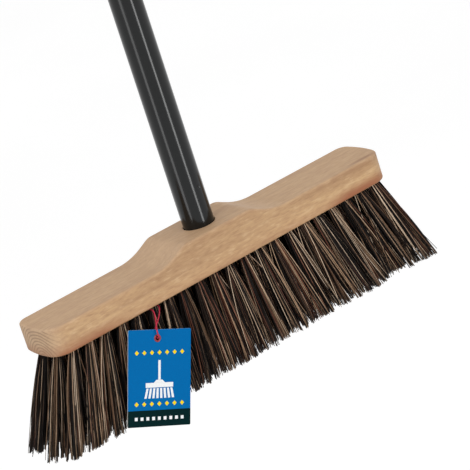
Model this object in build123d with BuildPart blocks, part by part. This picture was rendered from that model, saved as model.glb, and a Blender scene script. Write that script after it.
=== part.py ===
from build123d import *
import os
import random
from math import atan2, cos, degrees, pi, radians, sin, tan

# A push broom with a wooden head, natural fibre tufts and a coated metal handle.
# X runs along the head, -Y is the front and +Z is up. The origin is the centre of the
# hanging hole in the cap, so the broom hangs below it. Millimetres.

# Driving dimensions of the head
head_length = 288.0
head_depth = 45.0
head_thickness = 20.0
end_bow = 3.0
front_corner = 12.0
back_corner = 8.0
top_edge_round = 1.6
bottom_edge_round = 1.4
boss_height = 8.5
boss_width = 58.0
boss_slope = 26.0
boss_crest_round = 12.0
boss_foot_round = 44.0

# Handle
tube_diameter = 22.0
tube_wall = 0.8
handle_above_boss = 1480.0
socket_clearance = 0.5
socket_depth = 6.0
thread_depth = 17.0
thread_diameter = 17.6
thread_pitch = 3.5
thread_height = 0.9
thread_clearance = 0.2
plug_clearance = 0.1
plug_length = 38.0
plug_shoulder = 1.0
stake_height = 27.0
stake_angle = 13.0
stake_radius = 2.2
stake_depth = 0.45

# Cap at the top of the handle
cap_length = 66.0
cap_mouth_diameter = 25.4
cap_diameter = 26.2
cap_crown = 14.0
cap_crown_width = 16.0
cap_ledge = 1.5
cap_shoulder = 4.0
cap_taper = 8.0
dome_edge = 11.2
dome_rise = 6.0
cap_clearance = 0.05
hanging_hole_diameter = 6.0
hanging_hole_drop = 7.5

# Tufts: staggered rows of folded fibres, each fused to a slice of the underside
bristle_length = 65.0
row_places = [-16.5, -8.25, 0.0, 8.25, 16.5]
row_counts = [21, 22, 21, 22, 21]
tuft_pitch = 12.8
row_shift = 1.45
tuft_hole_diameter = 6.0
tuft_hole_depth = 10.0
tuft_root_length = 8.0
slice_width = 7.0
slice_thickness = 1.2
strands_per_tuft = 4
strand_root_radius = 1.9
strand_tip_radius = 4.4
strand_root_side = 1.5
strand_tip_side = 2.6
strand_sink = 0.4
tip_wander = 0.45
tip_set = 3.0
end_flare = 27.0
flare_fall = 8.0
side_flare = 1.55
staple_length = 6.4
staple_width = 0.5

# Hang tag, as it hangs in front of the tufts
card_width = 48.0
card_height = 64.0
card_thickness = 0.5
card_corner = 0.8
card_lean = 5.0
card_turn = 24.1
eyelet_from_top = 5.8
eyelet_off_middle = 1.6
eyelet_x = -73.1
eyelet_y = -29.0
eyelet_below_head = 17.6
eyelet_bore = 2.8
eyelet_barrel = 3.6
eyelet_flange = 5.2
eyelet_flange_thickness = 0.3
cord_diameter = 1.0
knot_diameter = 2.8

# Heights, worked out from the hanging hole downwards
cap_top = hanging_hole_drop
boss_top = cap_top - handle_above_boss
head_top = boss_top - boss_height
head_bottom = head_top - head_thickness
tips = head_bottom - bristle_length
socket_floor = boss_top - socket_depth
thread_floor = boss_top - thread_depth
tube_bottom = socket_floor + plug_shoulder
tube_top = cap_top - cap_crown
tube_radius = tube_diameter / 2
tube_bore = tube_radius - tube_wall
slice_top = head_bottom + slice_thickness
tuft_hole_top = head_bottom + tuft_hole_depth
tuft_root_top = head_bottom + tuft_root_length

os.makedirs("parts", exist_ok=True)
wander = random.Random(7)


def write(builder, name):
    """Labels a finished piece and writes it as a STEP file of the same name."""
    builder.part.label = name
    export_step(builder.part, f"parts/{name}.step")


def tuft_places(row):
    """The X positions of one row's tufts, evenly spaced."""
    first = row_shift - (row_counts[row] - 1) / 2 * tuft_pitch
    return [first + place * tuft_pitch for place in range(row_counts[row])]


def tuft_centers(row):
    """Where one row's tufts stand on the underside."""
    return Locations(*[(x, row_places[row]) for x in tuft_places(row)])


def row_slice(row):
    """The outline of the slice that one row's tufts are joined by."""
    with Locations((row_shift, row_places[row])):
        SlotCenterToCenter((row_counts[row] - 1) * tuft_pitch, slice_width)


# %% The wooden head
with BuildPart() as broom_block:
    with BuildSketch(Plane.XZ.offset(-head_depth / 2)):
        end_x = head_length / 2
        side_y = head_depth / 2
        crest_x = boss_width / 2
        foot_x = crest_x + boss_height / tan(radians(boss_slope))
        with BuildLine():
            Polyline((0, head_bottom), (end_x, head_bottom), (end_x, head_top))
            FilletPolyline((end_x, head_top), (foot_x, head_top), (crest_x, boss_top),
                           (0, boss_top), radius=[boss_foot_round, boss_crest_round])
            mirror(about=Plane.YZ)
        make_face()
    extrude(amount=head_depth)

    # The plan is trimmed to bowed ends, with wider rounded corners at the front
    with BuildSketch(Plane.XY.offset(head_bottom)):
        corner_x = end_x - end_bow
        with BuildLine():
            Line((-corner_x, -side_y), (corner_x, -side_y))
            ThreePointArc((corner_x, -side_y), (end_x, 0), (corner_x, side_y))
            Line((corner_x, side_y), (-corner_x, side_y))
            ThreePointArc((-corner_x, side_y), (-end_x, 0), (-corner_x, -side_y))
        make_face()
        fillet(vertices().filter_by(lambda corner: corner.Y < 0), front_corner)
        fillet(vertices().filter_by(lambda corner: corner.Y > side_y - 0.01 and
                                    abs(corner.X) > corner_x - 1), back_corner)
    extrude(amount=boss_top - head_bottom, mode=Mode.INTERSECT)
    underside = broom_block.faces().sort_by(Axis.Z)[0]
    upper = broom_block.edges().filter_by(lambda edge: edge.center().Z > head_top - 0.01)
    rim = upper.filter_by(lambda edge: abs(edge.center().Y) > 1 or
                          abs(edge.center().X) > corner_x)
    fillet(rim, top_edge_round)
    fillet(underside.edges(), bottom_edge_round)

    # Socket for the tube, then the narrower threaded bore
    with Locations((0, 0, boss_top)):
        CounterBoreHole(radius=thread_diameter / 2 + thread_clearance,
                        counter_bore_radius=tube_radius + socket_clearance,
                        counter_bore_depth=socket_depth, depth=thread_depth)

    # Blind tuft holes, and the grooves where each row's slice is let in
    for row in range(len(row_places)):
        with BuildSketch(Plane.XY.offset(head_bottom)):
            row_slice(row)
        extrude(amount=slice_thickness, mode=Mode.SUBTRACT)
        with BuildSketch(Plane.XY.offset(slice_top)):
            with tuft_centers(row):
                Circle(tuft_hole_diameter / 2)
        extrude(amount=tuft_hole_top - slice_top, mode=Mode.SUBTRACT)
write(broom_block, "broom_block")


# %% Tufts and the anchors that hold them
def strand(x, y, turn):
    """One four-sided strand from a tuft's root to the level of the tips.

    The tufts fan out along the head, more to the left end than to the right.
    """
    reach = x / (head_length / 2)
    tip_x = x + tip_set + end_flare * reach - flare_fall * reach**2
    tip_y = y * side_flare
    root_at = (x + strand_root_radius * cos(turn), y + strand_root_radius * sin(turn),
               head_bottom + strand_sink)
    tip_at = (tip_x + strand_tip_radius * cos(turn) + wander.uniform(-tip_wander, tip_wander),
              tip_y + strand_tip_radius * sin(turn) + wander.uniform(-tip_wander, tip_wander),
              tips)
    outward = (cos(turn), sin(turn), 0)
    root_plane = Plane(root_at, x_dir=outward, z_dir=(0, 0, 1))
    tip_plane = Plane(tip_at, x_dir=outward, z_dir=(0, 0, 1))
    root = Wire.make_rect(strand_root_side, strand_root_side, root_plane)
    tip = Wire.make_rect(strand_tip_side, strand_tip_side, tip_plane)
    return Solid.make_loft([root, tip], ruled=True)


for row, row_y in enumerate(row_places):
    strands = []
    for x in tuft_places(row):
        start = wander.uniform(0, 360 / strands_per_tuft)
        for place in range(strands_per_tuft):
            strands.append(strand(x, row_y, radians(start + place * 360 / strands_per_tuft)))
    with BuildPart() as bristle_row:
        with BuildSketch(Plane.XY.offset(head_bottom)):
            row_slice(row)
        extrude(amount=slice_thickness)
        with BuildSketch(Plane.XY.offset(slice_top)):
            with tuft_centers(row):
                Circle(tuft_hole_diameter / 2)
        extrude(amount=tuft_root_top - slice_top)
        add(strands)
    write(bristle_row, f"bristle_row_{row + 1}")

    with BuildPart() as staple_row:
        with BuildSketch(Plane.XY.offset(tuft_root_top)):
            with tuft_centers(row):
                Rectangle(staple_length, staple_width)
        extrude(amount=tuft_hole_top - tuft_root_top)
    write(staple_row, f"staple_row_{row + 1}")

# %% Handle tube, with the stake mark that holds the plug
stake_z = boss_top + stake_height
stake_direction = Vector(sin(radians(stake_angle)), -cos(radians(stake_angle)), 0)
stake_center = stake_direction * (tube_radius + stake_radius - stake_depth)
stake_at = (stake_center.X, stake_center.Y, stake_z)

with BuildPart() as handle_tube:
    with BuildSketch(Plane.XY.offset(tube_bottom)):
        Circle(tube_radius)
        Circle(tube_bore, mode=Mode.SUBTRACT)
    extrude(amount=tube_top - tube_bottom)
    with Locations(stake_at):
        Sphere(stake_radius, mode=Mode.SUBTRACT)
write(handle_tube, "handle_tube")

# %% Plug inside the tube's lower end, with a ringed stub for its thread
with BuildPart() as thread_plug:
    with BuildSketch(Plane.XZ):
        shank = tube_bore - plug_clearance
        stub = thread_diameter / 2 - thread_height
        stub_bottom = thread_floor + thread_clearance
        with BuildLine():
            Polyline((0, stub_bottom), (stub, stub_bottom), (stub, socket_floor),
                     (tube_radius, socket_floor), (tube_radius, tube_bottom),
                     (shank, tube_bottom), (shank, tube_bottom + plug_length),
                     (0, tube_bottom + plug_length), close=True)
        make_face()
    revolve(axis=Axis.Z)
    ring_count = int((socket_floor - stub_bottom) / thread_pitch)
    for ring in range(ring_count):
        ring_z = stub_bottom + (ring + 0.6) * thread_pitch
        with BuildSketch(Plane.XZ):
            with BuildLine():
                Polyline((stub - 0.5, ring_z - thread_pitch * 0.35),
                         (stub + thread_height, ring_z - thread_pitch * 0.12),
                         (stub + thread_height, ring_z + thread_pitch * 0.12),
                         (stub - 0.5, ring_z + thread_pitch * 0.35), close=True)
            make_face()
        revolve(axis=Axis.Z)
write(thread_plug, "thread_plug")

# %% End cap with its hanging hole
with BuildPart() as end_cap:
    with BuildSketch(Plane.XZ):
        cap_bottom = cap_top - cap_length
        mouth = cap_mouth_diameter / 2
        widest = cap_diameter / 2
        inside = tube_radius + cap_clearance
        dome_radius = (dome_edge**2 + dome_rise**2) / (2 * dome_rise)
        dome_start = degrees(atan2(dome_radius - dome_rise, dome_edge))
        with BuildLine():
            Polyline((0, cap_top), (0, tube_top), (inside, tube_top), (inside, cap_bottom),
                     (mouth, cap_bottom), (widest, cap_bottom + cap_taper),
                     (widest, tube_top - cap_shoulder), (dome_edge, cap_top - dome_rise))
            CenterArc((0, cap_top - dome_radius), dome_radius, dome_start, 90 - dome_start)
        make_face()
    revolve(axis=Axis.Z)
    with BuildSketch(Plane.XY.offset(tube_top + cap_ledge)):
        Rectangle(2 * cap_diameter, 2 * cap_diameter)
        Rectangle(cap_crown_width, 2 * cap_diameter, mode=Mode.SUBTRACT)
    extrude(amount=2 * cap_crown, mode=Mode.SUBTRACT)
    with Locations(Plane.YZ):
        Hole(hanging_hole_diameter / 2)
write(end_cap, "end_cap")

# %% Hang tag: card, eyelet and cord
# The card leans with the tufts, and it is turned in its own plane about the eyelet.
eyelet_at = Vector(eyelet_x, eyelet_y, head_bottom - eyelet_below_head)
card_out = Vector(0, -cos(radians(card_lean)), sin(radians(card_lean)))
card_right = Vector(1, 0, 0).rotate(Axis((0, 0, 0), card_out), -card_turn)
card_plane = Plane(eyelet_at, x_dir=card_right, z_dir=card_out)
card_center = (eyelet_off_middle, eyelet_from_top - card_height / 2)

with BuildPart() as tag_card:
    with BuildSketch(card_plane.offset(-card_thickness / 2)):
        with Locations(card_center):
            RectangleRounded(card_width, card_height, card_corner)
        Circle(eyelet_barrel / 2, mode=Mode.SUBTRACT)
    extrude(amount=card_thickness)
write(tag_card, "tag_card")

with BuildPart() as tag_eyelet:
    with BuildSketch(card_plane.offset(-card_thickness / 2)):
        Circle(eyelet_barrel / 2)
    extrude(amount=card_thickness)
    for face_offset, way in ((card_thickness / 2, 1), (-card_thickness / 2, -1)):
        with BuildSketch(card_plane.offset(face_offset)):
            Circle(eyelet_flange / 2)
        extrude(amount=way * eyelet_flange_thickness)
    with Locations(card_plane):
        Hole(eyelet_bore / 2)
write(tag_eyelet, "tag_eyelet")

# The cord's loop round one tuft of the front row, down to the eyelet and back.
cord_tuft = Vector(tuft_places(0)[5], row_places[0], head_bottom)
card_up = Vector(0, sin(radians(card_lean)), cos(radians(card_lean)))
knot_at = cord_tuft + Vector(0, 5.5, -2.4)
cord_route = [
    knot_at,
    cord_tuft + Vector(-4.0, 4.4, -2.4),
    cord_tuft + Vector(-4.4, -0.4, -2.2),
    cord_tuft + Vector(-2.9, -5.2, -2.2),
    cord_tuft + Vector(-5.0, -9.4, -5.4),
    eyelet_at + card_out * 2.6 + card_up * 5.6 + Vector(0.2, 0, 0),
    eyelet_at + card_out * 2.6,
    eyelet_at - card_out * 2.6,
    eyelet_at - card_out * 2.6 + card_up * 5.6 + Vector(2.0, 0, 0),
    cord_tuft + Vector(-2.2, -8.2, -7.2),
    cord_tuft + Vector(4.2, -2.4, -2.6),
    cord_tuft + Vector(4.0, 4.4, -2.4),
    knot_at + Vector(0.6, 0.3, 0),
]


def route_radii(points):
    """For each corner, 0.45 of its shorter run over the tangent of half its turn."""
    radii = []
    for before, corner, after in zip(points, points[1:], points[2:]):
        arriving = corner - before
        leaving = after - corner
        half_turn = radians(arriving.get_angle(leaving)) / 2
        radii.append(0.45 * min(arriving.length, leaving.length) / tan(half_turn))
    return radii


cord_radii = route_radii(cord_route)
print("cord radii, mm:", [round(radius, 1) for radius in cord_radii])
with BuildPart() as tag_cord:
    with BuildLine() as cord_path:
        FilletPolyline(*cord_route, radius=cord_radii)
    cord_line = cord_path.wires()[0]
    with BuildSketch(Plane(cord_line @ 0, z_dir=cord_line % 0)):
        Circle(cord_diameter / 2)
    sweep(path=cord_line)
cord_section = pi * (cord_diameter / 2) ** 2
print("cord length, mm:", round(cord_line.length, 1), "volume", round(tag_cord.part.volume, 2),
      "section times length", round(cord_section * cord_line.length, 2))
write(tag_cord, "tag_cord")

with BuildPart() as cord_knot:
    with Locations(knot_at):
        Sphere(knot_diameter / 2)
write(cord_knot, "cord_knot")

print("head bottom", round(head_bottom, 2), "tips", round(tips, 2), "eyelet", eyelet_at)
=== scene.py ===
# %% [markdown]
# # A push broom, from plain solids to a finished look
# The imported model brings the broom's real sizes: a wooden head with five rows of tufts, a
# coated tube, a plastic cap and a card tag on a red thread. This lesson keeps the hard parts
# whose shape is right and gives them materials. It builds the rest anew in the same places:
# the fibres, the thread and its knot, the ribbed cap and the eyelet's rolled rim. All lengths
# are in metres, as Blender counts them.

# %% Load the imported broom
import random
from math import asin, cos, pi, radians, sin, tau

import bmesh
import bpy
from mathutils import Matrix, Quaternion, Vector


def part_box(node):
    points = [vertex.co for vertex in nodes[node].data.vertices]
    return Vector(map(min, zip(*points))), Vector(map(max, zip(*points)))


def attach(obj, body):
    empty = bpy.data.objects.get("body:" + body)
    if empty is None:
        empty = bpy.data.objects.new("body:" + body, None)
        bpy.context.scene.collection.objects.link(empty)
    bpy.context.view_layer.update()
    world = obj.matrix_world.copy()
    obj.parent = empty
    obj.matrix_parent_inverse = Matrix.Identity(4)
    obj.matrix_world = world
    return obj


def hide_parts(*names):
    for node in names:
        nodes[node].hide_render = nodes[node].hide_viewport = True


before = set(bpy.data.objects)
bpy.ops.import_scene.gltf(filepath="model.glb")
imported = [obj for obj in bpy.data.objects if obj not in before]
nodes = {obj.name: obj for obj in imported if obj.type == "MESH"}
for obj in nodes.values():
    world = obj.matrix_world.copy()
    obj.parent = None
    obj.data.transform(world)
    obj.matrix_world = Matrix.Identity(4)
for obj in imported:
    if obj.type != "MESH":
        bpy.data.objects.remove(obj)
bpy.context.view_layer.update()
MM = 0.001
head_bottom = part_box("broom_block")[0].z
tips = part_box("bristle_row_1")[0].z
print("nodes:", sorted(nodes))
print("head bottom", round(head_bottom, 4), "tips", round(tips, 4))

# %% [markdown]
# ## The camera
# The picture to match looks down on the head from the left, with a long lens and the camera
# rolled, so that the head runs uphill across the frame. A camera in Blender looks along its
# own -Z axis. `to_track_quat` turns it to face the target, and a second turn about that same
# axis rolls it. The numbers come from fitting the head's edges to the photograph.

# %% Camera
camera_at = Vector((-0.89297, -1.58538, head_bottom + 0.64452))
camera_target = Vector((0.02391, 0.0, head_bottom + 0.00834))
camera_roll = radians(-18.0)
camera_data = bpy.data.cameras.new("camera")
camera_data.lens = 218.9
camera_data.sensor_width = 36.0
camera_data.clip_end = 50.0
camera = bpy.data.objects.new("camera", camera_data)
bpy.context.scene.collection.objects.link(camera)
camera.location = camera_at
facing = (camera_target - camera_at).to_track_quat("-Z", "Y")
camera.rotation_mode = "QUATERNION"
camera.rotation_quaternion = facing @ Quaternion((0, 0, 1), camera_roll)
bpy.context.scene.camera = camera
print("camera distance", round((camera_target - camera_at).length, 3))

# %% [markdown]
# ## The tag's thread
# The tag hangs on a thin red thread, looped round one tuft under the head and through the
# eyelet. It is the only cord on the broom, and it comes first because it has to be the real
# length. A NURBS curve of order 3 rounds off between its points as a limp thread does, so a
# dozen given points are enough.

# %% Where the thread and the card hang
tuft_pitch = 12.8 * MM
row_shift = 1.45 * MM
row_pitch = 8.25 * MM
row_places = [row * row_pitch for row in (-2, -1, 0, 1, 2)]
row_counts = [21, 22, 21, 22, 21]
cord_tuft_from_middle = 5
card_lean = radians(5.0)
card_turn = radians(24.1)
eyelet_at = Vector((-73.1 * MM, -29.0 * MM, head_bottom - 17.6 * MM))
card_out = Vector((0, -cos(card_lean), sin(card_lean)))
hang_up = Vector((0, sin(card_lean), cos(card_lean)))
card_right = Quaternion(card_out, -card_turn) @ Vector((1, 0, 0))
card_up = card_out.cross(card_right)
cord_tuft = Vector((row_shift - cord_tuft_from_middle * tuft_pitch, row_places[0], head_bottom))


def mm(x, y, z):
    """A vector written in millimetres."""
    return Vector((x, y, z)) * MM


knot_at = cord_tuft + mm(0, 5.5, -2.4)
front_of_eyelet = eyelet_at + card_out * 2.6 * MM
back_of_eyelet = eyelet_at - card_out * 2.6 * MM
above_eyelet = hang_up * 5.6 * MM
thread_route = [
    knot_at,
    cord_tuft + mm(-3.8, 4.4, -1.8),
    cord_tuft + mm(-4.2, -0.4, -1.2),
    cord_tuft + mm(-2.8, -5.4, -1.6),
    cord_tuft + mm(-5.6, -9.6, -6.4),
    front_of_eyelet + above_eyelet + mm(0.2, 0, 0),
    front_of_eyelet,
    back_of_eyelet,
    back_of_eyelet + above_eyelet + mm(2.0, 0, 0),
    cord_tuft + mm(-2.2, -8.2, -7.2),
    cord_tuft + mm(4.2, -2.4, -2.6),
    cord_tuft + mm(4.0, 4.4, -2.4),
    knot_at + mm(0.6, 0.3, 0),
]

# %% The thread's line
thread_steps = 16


def smooth_line(name, points, resolution):
    """A NURBS curve through the given control points, with no thickness."""
    curve = bpy.data.curves.new(name, "CURVE")
    curve.dimensions = "3D"
    curve.resolution_u = resolution
    spline = curve.splines.new("NURBS")
    spline.points.add(len(points) - 1)
    for spot, point in zip(spline.points, points):
        spot.co = (*point, 1.0)
    spline.order_u = 3
    spline.use_endpoint_u = True
    return bpy.data.objects.new(name, curve)


def points_along(line):
    """The points that a smooth line draws, as Blender gives them."""
    mesh = bpy.data.meshes.new_from_object(line)
    found = [vertex.co.copy() for vertex in mesh.vertices]
    bpy.data.meshes.remove(mesh)
    bpy.data.objects.remove(line)
    return found


thread_points = points_along(smooth_line("thread_line", thread_route, thread_steps))

# %% [markdown]
# ## Rods: one helper for fibres and thread
# A fibre and a strand of thread are the same form, a thin round rod along a line. A curve
# with a bevel would do for a few, but thousands of fibres are lighter as one mesh. The
# helper walks along each line and carries a ring of points with it, turned as little as
# possible from ring to ring, so that no rod twists or pinches.

# %% Rod helper
def rings_along(points, radii, sides):
    """Rings of points round a line, each turned as little as possible from the last."""
    rings = []
    way = (points[1] - points[0]).normalized()
    side = way.orthogonal().normalized()
    for place, point in enumerate(points):
        after = points[min(place + 1, len(points) - 1)]
        before = points[max(place - 1, 0)]
        new_way = (after - before).normalized()
        side = (way.rotation_difference(new_way) @ side).normalized()
        way = new_way
        across = way.cross(side)
        ring = []
        for corner in range(sides):
            angle = tau * corner / sides
            ring.append(point + radii[place] * (cos(angle) * side + sin(angle) * across))
        rings.append(ring)
    return rings


def new_piece(name, verts, faces, smooth=True):
    """A mesh object made from points and faces."""
    mesh = bpy.data.meshes.new(name)
    mesh.from_pydata(verts, [], faces)
    if smooth:
        mesh.shade_smooth()
    piece = bpy.data.objects.new(name, mesh)
    bpy.context.scene.collection.objects.link(piece)
    return piece


def rods(name, lines, sides):
    """One mesh of rods. Each line is (points, radii, tone), and tone goes to the shader."""
    verts, faces, tones, alongs = [], [], [], []
    for points, radii, tone in lines:
        start = len(verts)
        rings = rings_along(points, radii, sides)
        last = len(rings) - 1
        for place, ring in enumerate(rings):
            verts += ring
            tones += [tone] * sides
            alongs += [place / last] * sides
        for place in range(last):
            low = start + place * sides
            for corner in range(sides):
                right = (corner + 1) % sides
                faces.append((low + corner, low + right,
                              low + sides + right, low + sides + corner))
        top = start + last * sides
        faces.append(tuple(range(start + sides - 1, start - 1, -1)))
        faces.append(tuple(range(top, top + sides)))
    piece = new_piece(name, verts, faces)
    attributes = piece.data.attributes
    attributes.new("tone", "FLOAT", "POINT").data.foreach_set("value", tones)
    attributes.new("along", "FLOAT", "POINT").data.foreach_set("value", alongs)
    return piece


def stand_in(piece, body, slot, *replaced):
    """Says which body a piece moves with, and hides the nodes it replaces. The slot is not used.
    """
    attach(piece, body)
    if replaced:
        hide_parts(*replaced)


# %% [markdown]
# ## Twisting the thread
# Close up, the thread is three strands twisted round each other. Each strand is a helix
# about the thread's own line, so it follows every bend of the route. Its two ends meet in a
# small hard knot behind the tuft. A trefoil is the line of that overhand knot with its ends
# joined, and sums of sines and cosines with different periods draw it.

# %% Twisted thread
thread_radius = 0.5 * MM
strand_radius = 0.27 * MM
strand_count = 3
strand_sides = 8
strand_tone = 0.5
twist_length = 2.6 * MM
knot_size = 0.33 * MM
knot_steps = 72


def twisted(points):
    """The lines of the strands that wind round a line."""
    reach = thread_radius - strand_radius
    centers = rings_along(points, [reach] * len(points), strand_count)
    walked = 0.0
    lines = [[] for strand in range(strand_count)]
    before = points[0]
    for point, ring in zip(points, centers):
        walked += (point - before).length
        before = point
        side = (ring[0] - point) / reach
        way = (ring[1] - point).cross(ring[0] - point).normalized()
        for strand in range(strand_count):
            turn = Quaternion(way, tau * (walked / twist_length + strand / strand_count))
            lines[strand].append(point + turn @ side * reach)
    return lines


def thread_rods(name, points):
    """A piece of thread along a line."""
    strands = [(line, [strand_radius] * len(line), strand_tone) for line in twisted(points)]
    return rods(name, strands, strand_sides)


knot_points = []
for place in range(knot_steps + 1):
    turn = tau * place / knot_steps
    knot_points.append(knot_at + knot_size * Vector((sin(turn) + 2 * sin(2 * turn),
                                                     1.5 * sin(3 * turn),
                                                     cos(turn) - 2 * cos(2 * turn))))
tag_thread = thread_rods("tag_thread", thread_points)
thread_knot = thread_rods("thread_knot", knot_points)
stand_in(tag_thread, "broom", "red_cord", "tag_cord")
stand_in(thread_knot, "broom", "red_cord", "cord_knot")
print("thread faces:", len(tag_thread.data.polygons), "knot:", len(thread_knot.data.polygons))

# %% [markdown]
# ## Materials
# Every finish is a Principled shader fed by noise, so this helper keeps each recipe short.
# A number or colour that is the same all over goes straight on the shader's own socket. Most
# of a soft noise lies between 0.3 and 0.7, so these two are where a finish changes over.

# %% Material helpers
noise_low, noise_high = 0.3, 0.7


class Finish:
    """A material with its shader, and short ways to add and join nodes."""

    def __init__(self, name, roughness, specular=0.5):
        self.material = bpy.data.materials.new(name)
        self.material.use_nodes = True
        self.tree = self.material.node_tree
        self.shader = self.tree.nodes["Principled BSDF"]
        self.shader.inputs["Roughness"].default_value = roughness
        self.shader.inputs["Specular IOR Level"].default_value = specular

    def add(self, kind, settings=None, **inputs):
        """Adds a node, sets its options and fills or links the named inputs."""
        node = self.tree.nodes.new(kind)
        for option, value in (settings or {}).items():
            setattr(node, option, value)
        for socket, value in inputs.items():
            self.feed(node.inputs[socket.replace("_", " ")], value)
        return node

    def feed(self, socket, value):
        """Links a socket to another node's output, or writes a plain value."""
        if isinstance(value, bpy.types.NodeSocket):
            self.tree.links.new(value, socket)
        else:
            socket.default_value = value

    def where(self):
        """The spot's place, the same for all pieces, as they all have one origin."""
        return self.add("ShaderNodeTexCoord").outputs["Object"]

    def facing(self):
        """The way the surface faces."""
        return self.add("ShaderNodeTexCoord").outputs["Normal"]

    def part(self, vector, axis):
        """One of a vector's X, Y and Z."""
        return self.add("ShaderNodeSeparateXYZ", Vector=vector).outputs[axis]

    def noise(self, scale, detail=2.0, distortion=0.0):
        """Soft random values from 0 to 1, with waves of 1 / scale, or one scale for each axis."""
        scales = scale if isinstance(scale, tuple) else (scale, scale, scale)
        place = self.add("ShaderNodeMapping", Vector=self.where(), Scale=scales)
        return self.add("ShaderNodeTexNoise", Vector=place.outputs["Vector"], Scale=1.0,
                        Detail=detail, Distortion=distortion).outputs["Fac"]

    def ramp(self, value, stops):
        """Colours between the given (place, colour) stops."""
        node = self.add("ShaderNodeValToRGB", Fac=value)
        elements = node.color_ramp.elements
        elements[0].position, elements[0].color = stops[0][0], (*stops[0][1], 1)
        elements[1].position, elements[1].color = stops[-1][0], (*stops[-1][1], 1)
        for position, color in stops[1:-1]:
            elements.new(position).color = (*color, 1)
        return node.outputs["Color"]

    def spread(self, value, low, high, to_low, to_high):
        """Moves values between low and high to lie between two others."""
        node = self.add("ShaderNodeMapRange", Value=value, From_Min=low, From_Max=high,
                        To_Min=to_low, To_Max=to_high)
        return node.outputs["Result"]

    def two_tone(self, noise, first, second):
        """One colour where a noise is low, and another where it is high."""
        return self.ramp(noise, [(noise_low, first), (noise_high, second)])

    def uneven(self, noise, least, most):
        """A number that goes from one value to another as a noise goes from low to high."""
        return self.spread(noise, noise_low, noise_high, least, most)

    def math(self, operation, *values):
        """One operation on numbers, such as SINE."""
        node = self.add("ShaderNodeMath", {"operation": operation})
        for socket, value in zip(node.inputs, values):
            self.feed(socket, value)
        return node.outputs["Value"]

    def product(self, first, *others):
        """Numbers multiplied together, from left to right."""
        for other in others:
            first = self.math("MULTIPLY", first, other)
        return first

    def vector(self, operation, *values):
        """One operation on vectors. A length or dot product comes out as a number."""
        node = self.add("ShaderNodeVectorMath", {"operation": operation})
        for socket, value in zip(node.inputs, values):
            self.feed(socket, value)
        answer = "Value" if operation in ("LENGTH", "DOT_PRODUCT") else "Vector"
        return node.outputs[answer]

    def mix(self, share, first, second):
        """Mixes two colours."""
        node = self.add("ShaderNodeMix", {"data_type": "RGBA"})
        self.feed(node.inputs[0], share)
        for socket, value in ((node.inputs[6], first), (node.inputs[7], second)):
            self.feed(socket, (*value, 1) if isinstance(value, tuple) else value)
        return node.outputs[2]

    def bump(self, height, strength, distance):
        """Raises the surface by a height from 0 to 1, as seen by the lights."""
        node = self.add("ShaderNodeBump", Height=height, Strength=strength,
                        Distance=distance)
        self.feed(self.shader.inputs["Normal"], node.outputs["Normal"])

    def finish(self, color, rough=None):
        """Feeds the base colour, and the roughness where it varies."""
        self.feed(self.shader.inputs["Base Color"], color)
        if rough is not None:
            self.feed(self.shader.inputs["Roughness"], rough)


def srgb(red, green, blue):
    """A colour as a picture's numbers, 0 to 255, turned into the shader's linear ones."""
    linear = []
    for part in (red, green, blue):
        share = part / 255
        if share <= 0.04045:
            linear.append(share / 12.92)
        else:
            linear.append(((share + 0.055) / 1.055) ** 2.4)
    return tuple(linear)


def dress(finish, *pieces):
    """Gives pieces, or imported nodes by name, their material."""
    for piece in pieces:
        dressed = nodes[piece] if isinstance(piece, str) else piece
        dressed.data.materials.clear()
        dressed.data.materials.append(finish.material)
        print(finish.material.name, "on", dressed.name)


# %% [markdown]
# ## Wood
# The head is one sanded piece of beech, left bare. Its colour drifts in long soft patches
# along the grain, with fine pores, pale and dark flecks and a few darker streaks. The growth
# rings are circles about the tree's heart, which lay just under the head: they show as arcs
# on the sawn ends, and hardly at all on the long faces. So the rings are a sine of the
# distance from a line under the head, a little warped, and the way the surface faces decides
# how strongly they show. Each mix below tints the wood where its mask is, and leaves the rest.

# %% Wood
ring_width = 2.3 * MM
ring_warp = 2.4 * MM
heart = (0.0, -5.0 * MM, head_bottom - 2 * MM)
across_grain = (0, 1, 1)
rings_on_face, rings_on_end = 0.05, 0.6

wood = Finish("sanded_beech", 0.6)
warp = wood.noise((7.0, 34.0, 34.0))
heart_way = wood.vector("SUBTRACT", wood.where(), heart)
from_heart = wood.vector("LENGTH", wood.vector("MULTIPLY", heart_way, across_grain))
ring_reach = wood.math("MULTIPLY_ADD", warp, ring_warp, from_heart)
ring_wave = wood.math("SINE", wood.product(ring_reach, tau / ring_width))
ring_line = wood.math("MAXIMUM", ring_wave, 0.0)
on_end = wood.math("ABSOLUTE", wood.part(wood.facing(), "X"))
top_light_share = wood.math("MAXIMUM", wood.part(wood.facing(), "Z"), 0.0)
on_front = wood.math("MAXIMUM", wood.product(wood.part(wood.facing(), "Y"), -1.0), 0.0)
ring_share = wood.spread(on_end, 0.6, 0.97, rings_on_face, rings_on_end)

patches = wood.noise((9.0, 75.0, 75.0), 3.0, 0.5)
streaks = wood.noise((4.5, 210.0, 210.0), 2.0, 0.4)
pores = wood.noise((170.0, 1700.0, 1700.0), 2.0)
flecks = wood.noise((150.0, 560.0, 560.0), 3.0)
shade = wood.ramp(patches, [(0.3, srgb(175, 138, 99)), (0.5, srgb(190, 153, 111)),
                            (0.72, srgb(203, 167, 122))])
shade = wood.mix(wood.spread(streaks, 0.54, 0.72, 0.0, 0.42), shade, srgb(156, 116, 84))
shade = wood.mix(wood.spread(flecks, 0.5, 0.72, 0.0, 0.5), shade, srgb(158, 118, 86))
shade = wood.mix(wood.spread(flecks, 0.32, 0.44, 0.35, 0.0), shade, srgb(216, 184, 146))
shade = wood.mix(wood.spread(pores, 0.52, 0.75, 0.0, 0.4), shade, srgb(150, 110, 80))
# Painted light: faces that point up are tinted greyer, for how the light from above falls on
# them.
shade = wood.mix(wood.product(top_light_share, 0.45), shade, srgb(190, 159, 130))
# Painted light: the sawn ends are lightened by the way they face, in place of more lamp light on
# them.
shade = wood.mix(wood.product(on_end, 0.4), shade, srgb(214, 187, 160))
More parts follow.
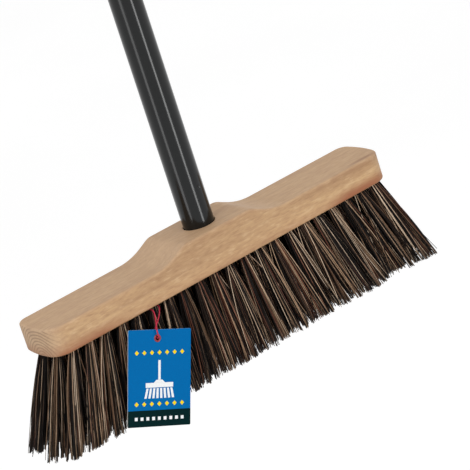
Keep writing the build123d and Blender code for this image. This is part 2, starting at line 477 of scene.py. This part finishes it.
shade = wood.mix(wood.product(ring_line, ring_share), shade, srgb(132, 98, 72))

# %% [markdown]
# Three marks make this head look like a real one: the lower edge is darker and warmer near
# both ends, the upper front edge is a little darker except at the far left, and a dark streak
# of grain crosses it near the right end. All are masks made from the spot's place, so they
# stay where they are from every side. Each stretch below is where a mask starts and ends.

# %% Marks on the wood
low_stretch = (head_bottom + 1 * MM, head_bottom + 9 * MM)
high_stretch = (head_bottom + 11 * MM, head_bottom + 17 * MM)
end_stretch = (82 * MM, 106 * MM)
left_stretch = (-85 * MM, -60 * MM)
streak_middle = (128 * MM, -18.5 * MM, head_bottom + 19 * MM)
streak_reach = (17 * MM, 3.2 * MM, 2.6 * MM)

height = wood.part(wood.where(), "Z")
along_head = wood.part(wood.where(), "X")
near_end = wood.spread(wood.math("ABSOLUTE", along_head), *end_stretch, 0.5, 2.0)
low_down = wood.spread(height, *low_stretch, 1.0, 0.0)
on_side = wood.math("MAXIMUM", on_front, wood.product(on_end, 0.5))
low_mark = wood.product(near_end, patches, low_down, on_side)
shade = wood.mix(low_mark, shade, srgb(150, 92, 58))

right_of_left = wood.spread(along_head, *left_stretch, 0.0, 1.0)
high_up = wood.spread(height, *high_stretch, 0.0, 0.3)
high_mark = wood.product(on_front, streaks, high_up, right_of_left)
shade = wood.mix(high_mark, shade, srgb(120, 82, 56))

streak_way = wood.vector("SUBTRACT", wood.where(), streak_middle)
streak_share = wood.vector("LENGTH", wood.vector("DIVIDE", streak_way, streak_reach))
from_streak = wood.math("MULTIPLY_ADD", streaks, 0.9, streak_share)
shade = wood.mix(wood.spread(from_streak, 0.75, 1.4, 0.55, 0.0), shade, srgb(128, 84, 54))
wood.finish(shade, wood.spread(pores, 0.3, 0.8, 0.55, 0.75))
wood.bump(pores, 0.12, 0.25 * MM)
dress(wood, "broom_block")

# %% [markdown]
# ## Slices of the underside
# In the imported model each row's tufts are joined by a thin slice, which is part of the
# head's wood on the real broom. The fibres below replace those rows, so their slices come
# back here in wood. A flat 2D curve fills its outer line and leaves the inner circles open,
# which makes a plate with holes in one go.

# %% Wood slices
slice_thickness = 1.2 * MM
slice_end = 3.5 * MM
slice_end_steps = 24
hole_radius = 3.0 * MM
hole_corners = 32


def arc(center, radius, start, sweep, steps):
    """Points along an arc about a place on the X axis."""
    turns = [start + sweep * step / steps for step in range(steps + 1)]
    return [(center + radius * cos(turn), radius * sin(turn)) for turn in turns]


def tuft_places(row):
    """The X positions of one row's tufts."""
    first = row_shift - (row_counts[row] - 1) / 2 * tuft_pitch
    return [first + place * tuft_pitch for place in range(row_counts[row])]


def wood_slice(row):
    """The slice of wood that one row's tufts stand in."""
    curve = bpy.data.curves.new("slice", "CURVE")
    curve.dimensions = "2D"
    curve.fill_mode = "BOTH"
    curve.extrude = slice_thickness / 2
    places = tuft_places(row)
    outlines = [arc(places[-1], slice_end, -pi / 2, pi, slice_end_steps)
                + arc(places[0], slice_end, pi / 2, pi, slice_end_steps)]
    hole_steps = hole_corners - 1
    hole_sweep = tau * hole_steps / hole_corners
    outlines += [arc(x, hole_radius, 0, hole_sweep, hole_steps) for x in places]
    for outline in outlines:
        spline = curve.splines.new("POLY")
        spline.points.add(len(outline) - 1)
        for spot, (x, y) in zip(spline.points, outline):
            spot.co = (x, y, 0, 1)
        spline.use_cyclic_u = True
    flat = bpy.data.objects.new("slice", curve)
    mesh = bpy.data.meshes.new_from_object(flat)
    bpy.data.objects.remove(flat)
    mesh.transform(Matrix.Translation((0, row_places[row], head_bottom + slice_thickness / 2)))
    mesh.name = f"wood_slice_{row + 1}"
    piece = bpy.data.objects.new(mesh.name, mesh)
    bpy.context.scene.collection.objects.link(piece)
    return piece


for row in range(len(row_places)):
    piece = wood_slice(row)
    dress(wood, piece)
    stand_in(piece, "broom", "beech", f"bristle_row_{row + 1}")
    print(piece.name, len(piece.data.polygons), "faces")

# %% [markdown]
# ## Coated tube
# The tube has a smooth semi-gloss coating, nearly black. What the eye reads as gloss is one
# narrow bright line, the mirror image of a tall lamp, so the roughness stays low and varies
# a little, as if from handling.

# %% Coated tube
coat = Finish("anthracite_coat", 0.16, specular=0.34)
orange_peel = coat.noise(700.0)
handling = coat.noise((60.0, 60.0, 7.0), 3.0)
coat.finish(coat.two_tone(orange_peel, srgb(8, 11, 12), srgb(15, 17, 17)),
            coat.uneven(handling, 0.13, 0.2))
coat.bump(orange_peel, 0.03, 0.1 * MM)
dress(coat, "handle_tube")

# %% [markdown]
# ## Plug and anchors
# The plug at the tube's end is moulded plastic, and each tuft is held by a short piece of
# drawn wire. Both are hidden in use, but a part that is taken apart still shows them.

# %% Plug and anchors
moulded = Finish("moulded_plastic", 0.5)
grain = moulded.noise(2500.0)
moulded.finish(moulded.two_tone(grain, srgb(26, 26, 27), srgb(36, 36, 37)),
               moulded.uneven(grain, 0.42, 0.6))
moulded.bump(grain, 0.15, 0.1 * MM)
dress(moulded, "thread_plug")

wire = Finish("drawn_wire", 0.3)
wire.shader.inputs["Metallic"].default_value = 1.0
drawing_lines = wire.noise((400.0, 3000.0, 3000.0))
wire.finish(wire.two_tone(drawing_lines, srgb(150, 150, 152), srgb(196, 196, 198)),
            wire.uneven(drawing_lines, 0.25, 0.4))
for row in range(len(row_places)):
    dress(wire, f"staple_row_{row + 1}")

# %% [markdown]
# ## Cap
# The cap on the handle's upper end is moulded plastic with a lip, shallow grip ribs and a
# narrower crown with two flats, where a hole takes a hook. It is turned as on a lathe: half
# an outline is carried round an axis. The ribs are the same outline, drawn in and out as it
# goes round, and the flats and the hole are cut from it afterwards.

# %% Turning helper
weld_distance = 0.001 * MM


def turned(name, outline, steps, ribs=0):
    """Carries a closed outline of (radius, height, rib depth) round the Z axis."""
    verts, faces = [], []
    count = len(outline)
    for step in range(steps):
        angle = tau * step / steps
        groove = (0.5 - 0.5 * cos(ribs * angle)) ** 3
        for radius, height, depth in outline:
            reach = radius - depth * groove
            verts.append((reach * cos(angle), reach * sin(angle), height))
    for step in range(steps):
        here, there = step * count, (step + 1) % steps * count
        for place in range(count):
            after = (place + 1) % count
            faces.append((here + place, there + place, there + after, here + after))
    piece = new_piece(name, verts, faces)
    shape = bmesh.new()
    shape.from_mesh(piece.data)
    bmesh.ops.remove_doubles(shape, verts=shape.verts, dist=weld_distance)
    bmesh.ops.recalc_face_normals(shape, faces=shape.faces)
    shape.to_mesh(piece.data)
    shape.free()
    return piece


def cut_away(piece, cutter):
    """Cuts another mesh out of a piece, and throws the cutter away."""
    cut = piece.modifiers.new("cut", "BOOLEAN")
    cut.object = cutter
    cut.solver = "EXACT"
    bpy.context.view_layer.update()
    seen = piece.evaluated_get(bpy.context.evaluated_depsgraph_get())
    piece.data = bpy.data.meshes.new_from_object(seen)
    piece.modifiers.clear()
    bpy.data.objects.remove(cutter)


# %% Cap
cap_low, cap_high = (corner.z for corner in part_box("end_cap"))
crown_low = cap_high - 14 * MM
flat_half = 8 * MM
flat_low = crown_low + 1.5 * MM
tool_reach = 30 * MM
bore_radius = 11.05 * MM
bore_mouth = 11.45 * MM
cap_radius = 13.1 * MM
lip_radius = 12.9 * MM
neck_radius = 12.5 * MM
rib_depth = 0.5 * MM
rib_count = 24
dome_edge = 11.2 * MM
dome_rise = 6 * MM
dome_steps = 9
hook_hole = 3 * MM
cap_steps, drill_steps = 144, 48
sharp_from = radians(35)

dome_radius = (dome_edge ** 2 + dome_rise ** 2) / (2 * dome_rise)
dome_turn = asin(dome_edge / dome_radius)
cap_outline = [
    (0, crown_low, 0), (bore_radius, crown_low, 0),
    (bore_radius, cap_low + 0.5 * MM, 0), (bore_mouth, cap_low, 0),
    (neck_radius, cap_low, 0), (lip_radius, cap_low + 0.3 * MM, 0),
    (lip_radius, cap_low + 3.2 * MM, 0), (neck_radius, cap_low + 3.8 * MM, 0),
    (neck_radius, cap_low + 4.8 * MM, 0), (12.8 * MM, cap_low + 5.4 * MM, 0),
    (cap_radius, cap_low + 7 * MM, 0), (cap_radius, cap_low + 8 * MM, rib_depth),
    (cap_radius, crown_low - 6.5 * MM, rib_depth), (cap_radius, crown_low - 5.5 * MM, 0),
    (cap_radius, crown_low - 4 * MM, 0), (lip_radius, crown_low - 3 * MM, 0),
]
for step in range(dome_steps + 1):
    turn = dome_turn * (1 - step / dome_steps)
    cap_outline.append((dome_radius * sin(turn), cap_high - dome_radius * (1 - cos(turn)), 0))


def milling_block(left, right):
    """A block that takes away all of the crown between two places across it."""
    corners = [(x, y, z) for z in (flat_low, flat_low + tool_reach)
               for y in (-tool_reach, tool_reach) for x in (left, right)]
    sides = [(0, 2, 3, 1), (4, 5, 7, 6), (0, 1, 5, 4), (2, 6, 7, 3), (0, 4, 6, 2), (1, 3, 7, 5)]
    return new_piece("milling_block", corners, sides, False)


grip_cap = turned("grip_cap", cap_outline, cap_steps, rib_count)
cut_away(grip_cap, milling_block(-tool_reach, -flat_half))
cut_away(grip_cap, milling_block(flat_half, tool_reach))
drill_outline = [(0, -tool_reach, 0), (hook_hole, -tool_reach, 0), (hook_hole, tool_reach, 0),
                 (0, tool_reach, 0)]
drill = turned("drill", drill_outline, drill_steps)
drill.data.transform(Matrix.Rotation(pi / 2, 4, "Y"))
cut_away(grip_cap, drill)
grip_cap.data.shade_smooth()
grip_cap.data.set_sharp_from_angle(angle=sharp_from)
dress(moulded, grip_cap)
stand_in(grip_cap, "broom", "cap_plastic", "end_cap")
print("cap faces:", len(grip_cap.data.polygons))

# %% [markdown]
# ## Eyelet
# The eyelet is a thin lacquered metal sleeve, rolled over on both faces of the card. Its
# outline is closed, so turning it makes a ring. A matrix whose columns are the card's own
# directions then stands it in the card.

# %% Eyelet
card_half = 0.25 * MM
rim_middle = 2.0 * MM
rim_reach = 0.6 * MM
rim_height = 0.29 * MM
rim_steps = 8
ring_steps = 64

rim_outline = []
for face in (1, -1):
    for step in range(rim_steps + 1):
        turn = pi * step / rim_steps if face == 1 else pi * (1 - step / rim_steps)
        rim_outline.append((rim_middle + rim_reach * cos(turn),
                            face * (card_half + rim_height * sin(turn)), 0))
eyelet_ring = turned("eyelet_ring", rim_outline, ring_steps)
card_frame = Matrix((card_right, card_up, card_out)).transposed().to_4x4()
card_frame.translation = eyelet_at
eyelet_ring.data.transform(card_frame)

lacquer = Finish("red_lacquer", 0.3)
specks = lacquer.noise(3000.0)
lacquer.finish(lacquer.two_tone(specks, srgb(122, 14, 24), srgb(150, 22, 34)),
               lacquer.uneven(specks, 0.25, 0.4))
dress(lacquer, eyelet_ring)
stand_in(eyelet_ring, "tag", "eyelet_metal", "tag_eyelet")

# %% [markdown]
# The thread is dyed a brighter red than the lacquer. Its fuzz keeps it dull, so it is rough
# all over, and a very fine noise breaks up its colour and its surface.

# %% Thread dye
thread_dye = Finish("red_thread", 0.8)
fuzz = thread_dye.noise(6000.0)
thread_dye.finish(thread_dye.two_tone(fuzz, srgb(158, 22, 52), srgb(208, 44, 72)),
                  thread_dye.uneven(fuzz, 0.7, 0.9))
thread_dye.bump(fuzz, 0.3, 0.05 * MM)
dress(thread_dye, tag_thread, thread_knot)

# %% [markdown]
# ## Card
# The tag is coated card, printed blue on its face with a dark band along the foot. Its back
# is bare and its cut edges show the paper. The material finds the card's own up and out
# directions with dot products, so one recipe serves all six sides.

# %% Card
band_top = -47.3 * MM
card_grain = 1500.0
card = Finish("printed_card", 0.5, specular=0.03)
fleck = card.noise(card_grain, 3.0)
up_card = card.vector("DOT_PRODUCT", card.vector("SUBTRACT", card.where(), eyelet_at), card_up)
out_card = card.vector("DOT_PRODUCT", card.facing(), card_out)
blue = card.two_tone(fleck, srgb(0, 98, 162), srgb(0, 105, 170))
band = card.two_tone(fleck, srgb(0, 28, 30), srgb(1, 35, 36))
paper = card.two_tone(fleck, srgb(214, 212, 204), srgb(232, 230, 224))
print_color = card.mix(card.math("LESS_THAN", up_card, band_top), blue, band)
card_color = card.mix(card.math("GREATER_THAN", out_card, 0.5), paper, print_color)
card.finish(card_color, card.uneven(fleck, 0.45, 0.6))
card.bump(fleck, 0.05, 0.05 * MM)
dress(card, "tag_card")

# %% [markdown]
# ## Print on the card
# The card carries a plain sign that names nobody: a white push broom between two rows of
# small yellow diamonds, and a line of pale squares in the band. Each shape is a flat polygon
# that lies a fiftieth of a millimetre over the card, which gives cleaner edges than a
# texture and no flicker. The shapes are drawn in millimetres across and up from the eyelet.

# %% Print helpers
ink_lift = 0.02 * MM
ink_shade = 0.92


def block(left, right, low, high):
    """A rectangle."""
    return [(left, low), (right, low), (right, high), (left, high)]


def diamond(x, y, reach):
    """A square on its corner."""
    return [(x - reach, y), (x, y - reach), (x + reach, y), (x, y + reach)]


def printed(name, shapes, color):
    """A piece of ink on the card's face, made from flat shapes."""
    verts, faces = [], []
    for shape in shapes:
        faces.append(tuple(range(len(verts), len(verts) + len(shape))))
        for across, up in shape:
            verts.append(eyelet_at + (across * card_right + up * card_up) * MM
                         + card_out * (card_half + ink_lift))
    piece = new_piece(name, verts, faces, False)
    ink = Finish(name + "_ink", 0.5, specular=0.05)
    ink_fleck = ink.noise(card_grain, 3.0)
    darker = tuple(ink_shade * part for part in color)
    ink.finish(ink.two_tone(ink_fleck, darker, color), ink.uneven(ink_fleck, 0.3, 0.42))
    dress(ink, piece)
    stand_in(piece, "tag", "tag_card")


# %% The sign's shapes
middle = 1.6
handle_half, handle_low, handle_top = 0.9, -27.6, -14.5
collar_half, collar_foot_half, collar_low, collar_top = 2.2, 4.5, -29.4, -27.4
head_half, head_low, head_top = 10.5, -32.4, -29.3
slat_count, slat_pitch, slat_fan = 8, 2.6, 1.16
slat_width, slat_foot_width, slat_low, slat_top = 1.6, 1.7, -39.5, -32.9
first_slat = middle - 9.9
square_count, square_pitch, square_half = 9, 4.4, 1.1
square_middle = -52.8
diamond_count, diamond_pitch, diamond_reach = 7, 5.8, 1.6
diamond_rows = (-9.4, -43.2)


def evenly(count, pitch):
    """Places across the card, spaced evenly about the sign's middle."""
    return [middle + (place - (count - 1) / 2) * pitch for place in range(count)]


sign = [block(middle - handle_half, middle + handle_half, handle_low, handle_top),
        [(middle - collar_foot_half, collar_low), (middle + collar_foot_half, collar_low),
         (middle + collar_half, collar_top), (middle - collar_half, collar_top)],
        block(middle - head_half, middle + head_half, head_low, head_top)]
for slat in range(slat_count):
    root = first_slat + slat * slat_pitch
    foot = middle + (root - middle) * slat_fan
    sign.append([(foot, slat_low), (foot + slat_foot_width, slat_low),
                 (root + slat_width, slat_top), (root, slat_top)])
band_squares = [block(x - square_half, x + square_half,
                      square_middle - square_half, square_middle + square_half)
                for x in evenly(square_count, square_pitch)]
diamonds = [diamond(x, y, diamond_reach)
            for y in diamond_rows for x in evenly(diamond_count, diamond_pitch)]
printed("sign_print", sign + band_squares, srgb(240, 242, 243))
printed("diamond_print", diamonds, srgb(246, 214, 24))

# %% [markdown]
# ## Fibres
# A tuft is a bunch of stiff plant fibres, folded over a wire anchor in its hole. The fibres
# of a bunch cling together in smaller clumps, with dark gaps between, and a few strays cross
# them. So each tuft gets some clumps, and each fibre keeps near its clump's line. They leave
# the hole close together and spread towards the trimmed ends. The tufts at both ends of the
# head lean outwards, and more strays cross there, mostly back towards the middle. All chance
# comes from one seeded dice, so every run grows the same fibres.

# %% Fibre sizes
dice = random.Random(11)
clumps_per_tuft = 13
fibres_per_clump = 10
strays_per_tuft = 8
crossing_per_tuft = 2
crossing_at_ends = 8
ends_from = 0.8
all_inward_from = 0.7
crossing_stride = (6 * MM, 18 * MM)
widest_spot = 0.9
clump_reach = (0.16, 0.2)
fibre_points = 7
fibre_sides = 4
fibre_radius = (0.25 * MM, 0.4 * MM)
stray_radius = (0.24 * MM, 0.36 * MM)
fibre_depth = 5 * MM
fibre_taper = 0.3
opening_power = 0.65
hole_reach = 2.55 * MM
tip_reach = (8.4 * MM, 6.6 * MM)
tip_gap = 0.5 * MM
tip_set = 3.0 * MM
end_flare = 27.0 * MM
flare_fall = 8.0 * MM
side_flare = 1.55
half_head = 144 * MM
widest_tip = 172 * MM
deepest_tip = 33.5 * MM


# %% One fibre
def scatter(across, deep):
    """A random step, mostly small."""
    return Vector((dice.gauss(0, across), dice.gauss(0, deep), 0))


def within(value, low, high):
    """A value, kept between two others."""
    return max(low, min(high, value))


def any_spot(widest_x, widest_y):
    """A random place in a rectangle about the middle."""
    return Vector((dice.uniform(-widest_x, widest_x), dice.uniform(-widest_y, widest_y)))


def fibre(root, end, spot, drift, bend, radius):
    """One fibre's points and radii, from inside its hole to the trimmed end.

    The spot is a place in a square from -1 to 1. The square becomes a disc in the hole.
    """
    in_hole = fibre_depth / (root.z - end.z)
    hole_spot = Vector((spot.x * (1 - spot.y ** 2 / 2) ** 0.5,
                        spot.y * (1 - spot.x ** 2 / 2) ** 0.5))
    points, radii = [], []
    for place in range(fibre_points):
        share = place / (fibre_points - 1)
        opened = max(0, (share - in_hole) / (1 - in_hole)) ** opening_power
        point = root.lerp(end, share) + drift * share + bend * sin(pi * share)
        point.x += (1 - opened) * hole_spot.x * hole_reach + opened * spot.x * tip_reach[0]
        point.y += (1 - opened) * hole_spot.y * hole_reach + opened * spot.y * tip_reach[1]
        point.x = within(point.x, -widest_tip, widest_tip)
        point.y = within(point.y, -deepest_tip, deepest_tip)
        points.append(point)
        radii.append(radius * (1 - fibre_taper * share))
    return points, radii


# %% One tuft
def tuft(x, y):
    """The fibres of one tuft, each with its tone. The reach is 1 at the head's right end."""
    reach = x / half_head
    root = Vector((x, y, head_bottom + fibre_depth))
    end = Vector((x + tip_set + end_flare * reach - flare_fall * reach ** 2, y * side_flare,
                  tips + tip_gap))
    tuft_drift = scatter(0.6 * MM, 0.3 * MM)
    tuft_tone = dice.gauss(0, 0.03)
    lines = []
    for clump in range(clumps_per_tuft):
        across = (clump + dice.random()) / clumps_per_tuft * 2 - 1
        clump_spot = Vector((across * widest_spot, dice.uniform(-widest_spot, widest_spot)))
        clump_drift = tuft_drift + scatter(0.9 * MM, 0.5 * MM)
        clump_bend = scatter(0.9 * MM, 0.5 * MM)
        clump_tone = tuft_tone + dice.gauss(0, 0.05)
        for place in range(fibres_per_clump):
            spot = clump_spot + any_spot(*clump_reach)
            spot = Vector((within(spot.x, -1, 1), within(spot.y, -1, 1)))
            trim = Vector((0, 0, abs(dice.gauss(0, 0.6 * MM))))
            points, radii = fibre(root, end + trim, spot,
                                  clump_drift + scatter(0.5 * MM, 0.4 * MM),
                                  clump_bend + scatter(0.4 * MM, 0.35 * MM),
                                  dice.uniform(*fibre_radius))
            lines.append((points, radii, within(dice.random() + clump_tone, 0, 1)))
    crossing = crossing_per_tuft if abs(reach) < ends_from else crossing_at_ends
    for place in range(strays_per_tuft + crossing):
        spot = any_spot(widest_spot, widest_spot)
        trim = Vector((0, 0, dice.uniform(0, 2.5 * MM)))
        drift = scatter(2.4 * MM, 1.0 * MM)
        if place >= strays_per_tuft:
            stride = dice.uniform(*crossing_stride)
            inwards_left = reach > dice.uniform(-all_inward_from, all_inward_from)
            drift.x = -stride if inwards_left else stride
        points, radii = fibre(root, end + trim, spot, drift, scatter(1.8 * MM, 0.6 * MM),
                              dice.uniform(*stray_radius))
        lines.append((points, radii, dice.uniform(0.3, 0.95)))
    return lines


# %% [markdown]
# The fibres are a mix of dark and pale plants. Each fibre carries a tone from 0 to 1 as a
# mesh attribute, and a colour ramp turns it into one of the mix: mostly near black and dark
# brown, some tan, and a few reddish ones. A second attribute runs along the fibre, so that
# the colour can darken a little towards the trimmed end: a painted shade where the tips lie
# in shadow.

# %% Fibre finish
fibre_mix = Finish("plant_fibre", 0.5, specular=0.12)
tone = fibre_mix.add("ShaderNodeAttribute", {"attribute_name": "tone"}).outputs["Fac"]
along = fibre_mix.add("ShaderNodeAttribute", {"attribute_name": "along"}).outputs["Fac"]
mottle = fibre_mix.noise((500.0, 500.0, 120.0))
plant = fibre_mix.ramp(tone, [(0.0, srgb(12, 11, 11)), (0.5, srgb(22, 16, 13)),
                              (0.64, srgb(48, 34, 26)), (0.74, srgb(122, 92, 70)),
                              (0.84, srgb(184, 152, 122)), (0.92, srgb(222, 198, 172)),
                              (0.955, srgb(136, 88, 68)), (1.0, srgb(108, 68, 54))])
plant = fibre_mix.mix(fibre_mix.spread(mottle, 0.35, 0.8, 0.0, 0.4), plant, srgb(26, 18, 14))
# Painted shade: the last part of each fibre darkens towards its tip.
plant = fibre_mix.mix(fibre_mix.spread(along, 0.86, 1.0, 0.0, 0.45), plant, srgb(16, 12, 10))
fibre_mix.finish(plant, fibre_mix.uneven(mottle, 0.38, 0.6))

# %% Five rows of fibres
for row, y in enumerate(row_places):
    lines = []
    for x in tuft_places(row):
        lines += tuft(x, y)
    piece = rods(f"fibres_row_{row + 1}", lines, fibre_sides)
    dress(fibre_mix, piece)
    stand_in(piece, "broom", "fibre", f"bristle_row_{row + 1}")
    print(piece.name, len(lines), "fibres,", len(piece.data.polygons), "faces")

# %% [markdown]
# ## Floor and surroundings
# The broom hangs by its cap, its head 40 cm above a plain pale floor, so that its shadow
# stays out of the picture. Floor and world look white. The Light Path node tells which rays
# come from the camera or a reflection: only those see the two at full white, so the broom is
# lit by no more than the lamps and a softer world give.

# %% Floor
floor_drop = 0.4
floor_reach = 6.0
floor_glow = 0.67

floor_z = head_bottom - floor_drop
floor_corners = [(x * floor_reach, y * floor_reach, floor_z)
                 for x, y in ((-1, -1), (1, -1), (1, 1), (-1, 1))]
floor = new_piece("floor", floor_corners, [(0, 1, 2, 3)], False)


def seen_rays(tree):
    """A socket that is 1 for rays from the camera, a reflection or through glass."""
    rays = tree.nodes.new("ShaderNodeLightPath")
    seen = rays.outputs["Is Camera Ray"]
    for kind in ("Is Glossy Ray", "Is Transmission Ray"):
        most = tree.nodes.new("ShaderNodeMath")
        most.operation = "MAXIMUM"
        tree.links.new(seen, most.inputs[0])
        tree.links.new(rays.outputs[kind], most.inputs[1])
        seen = most.outputs["Value"]
    return seen


def level_by_ray(tree, socket, unseen, seen):
    """Sets a strength to one value for light and to another for what is seen."""
    level = tree.nodes.new("ShaderNodeMapRange")
    tree.links.new(seen_rays(tree), level.inputs["Value"])
    level.inputs["To Min"].default_value = unseen
    level.inputs["To Max"].default_value = seen
    tree.links.new(level.outputs["Result"], socket)


pale = Finish("pale_floor", 0.9)
dust = pale.noise(3.0)
pale.finish(pale.two_tone(dust, (0.40, 0.40, 0.40), (0.42, 0.42, 0.42)))
pale.shader.inputs["Emission Color"].default_value = (1, 1, 1, 1)
level_by_ray(pale.tree, pale.shader.inputs["Emission Strength"], 0.0, floor_glow)
dress(pale, floor)

# %% World
sky_light = 0.68

world = bpy.data.worlds.new("studio")
bpy.context.scene.world = world
world.use_nodes = True
background = world.node_tree.nodes["Background"]
background.inputs["Color"].default_value = (1, 1, 1, 1)
level_by_ray(world.node_tree, background.inputs["Strength"], sky_light, 1.0)

# %% [markdown]
# ## Lamps
# Three soft lamps shape the light. A tall narrow one in front draws the bright line down the
# tube and picks out the nearest fibres. A weaker one at the left lights the sawn end and
# draws the tube's fainter second line. A large one overhead evens out the top. A lamp's
# power is its brightness times pi times its area, so each is given as brightness.

# %% Lamps
def softbox(name, at, target, width, height, brightness):
    """A rectangular lamp that faces a point, and isn't seen itself."""
    data = bpy.data.lights.new(name, "AREA")
    data.shape = "RECTANGLE"
    data.size = width
    data.size_y = height
    data.energy = brightness * pi * width * height
    lamp = bpy.data.objects.new(name, data)
    bpy.context.scene.collection.objects.link(lamp)
    lamp.location = at
    lamp.rotation_mode = "QUATERNION"
    lamp.rotation_quaternion = (Vector(target) - Vector(at)).to_track_quat("-Z", "Y")
    lamp.visible_camera = False
    print(name, round(data.energy, 2), "W")


strip_low = floor_z + 0.04
strip_height = 0.85
strip_middle = strip_low + strip_height / 2
on_tube = (0, 0, strip_middle)
softbox("front_strip", (0.13, -0.89, strip_middle), on_tube,
        width=0.16, height=strip_height, brightness=8.0)
softbox("left_strip", (-0.95, -0.33, strip_middle), on_tube,
        width=0.24, height=strip_height, brightness=3.2)
softbox("top_box", (-0.3, -0.5, head_bottom + 1.5), (0, 0, head_bottom),
        width=1.2, height=1.2, brightness=1.1)

bpy.context.scene.view_settings.view_transform = "Standard"
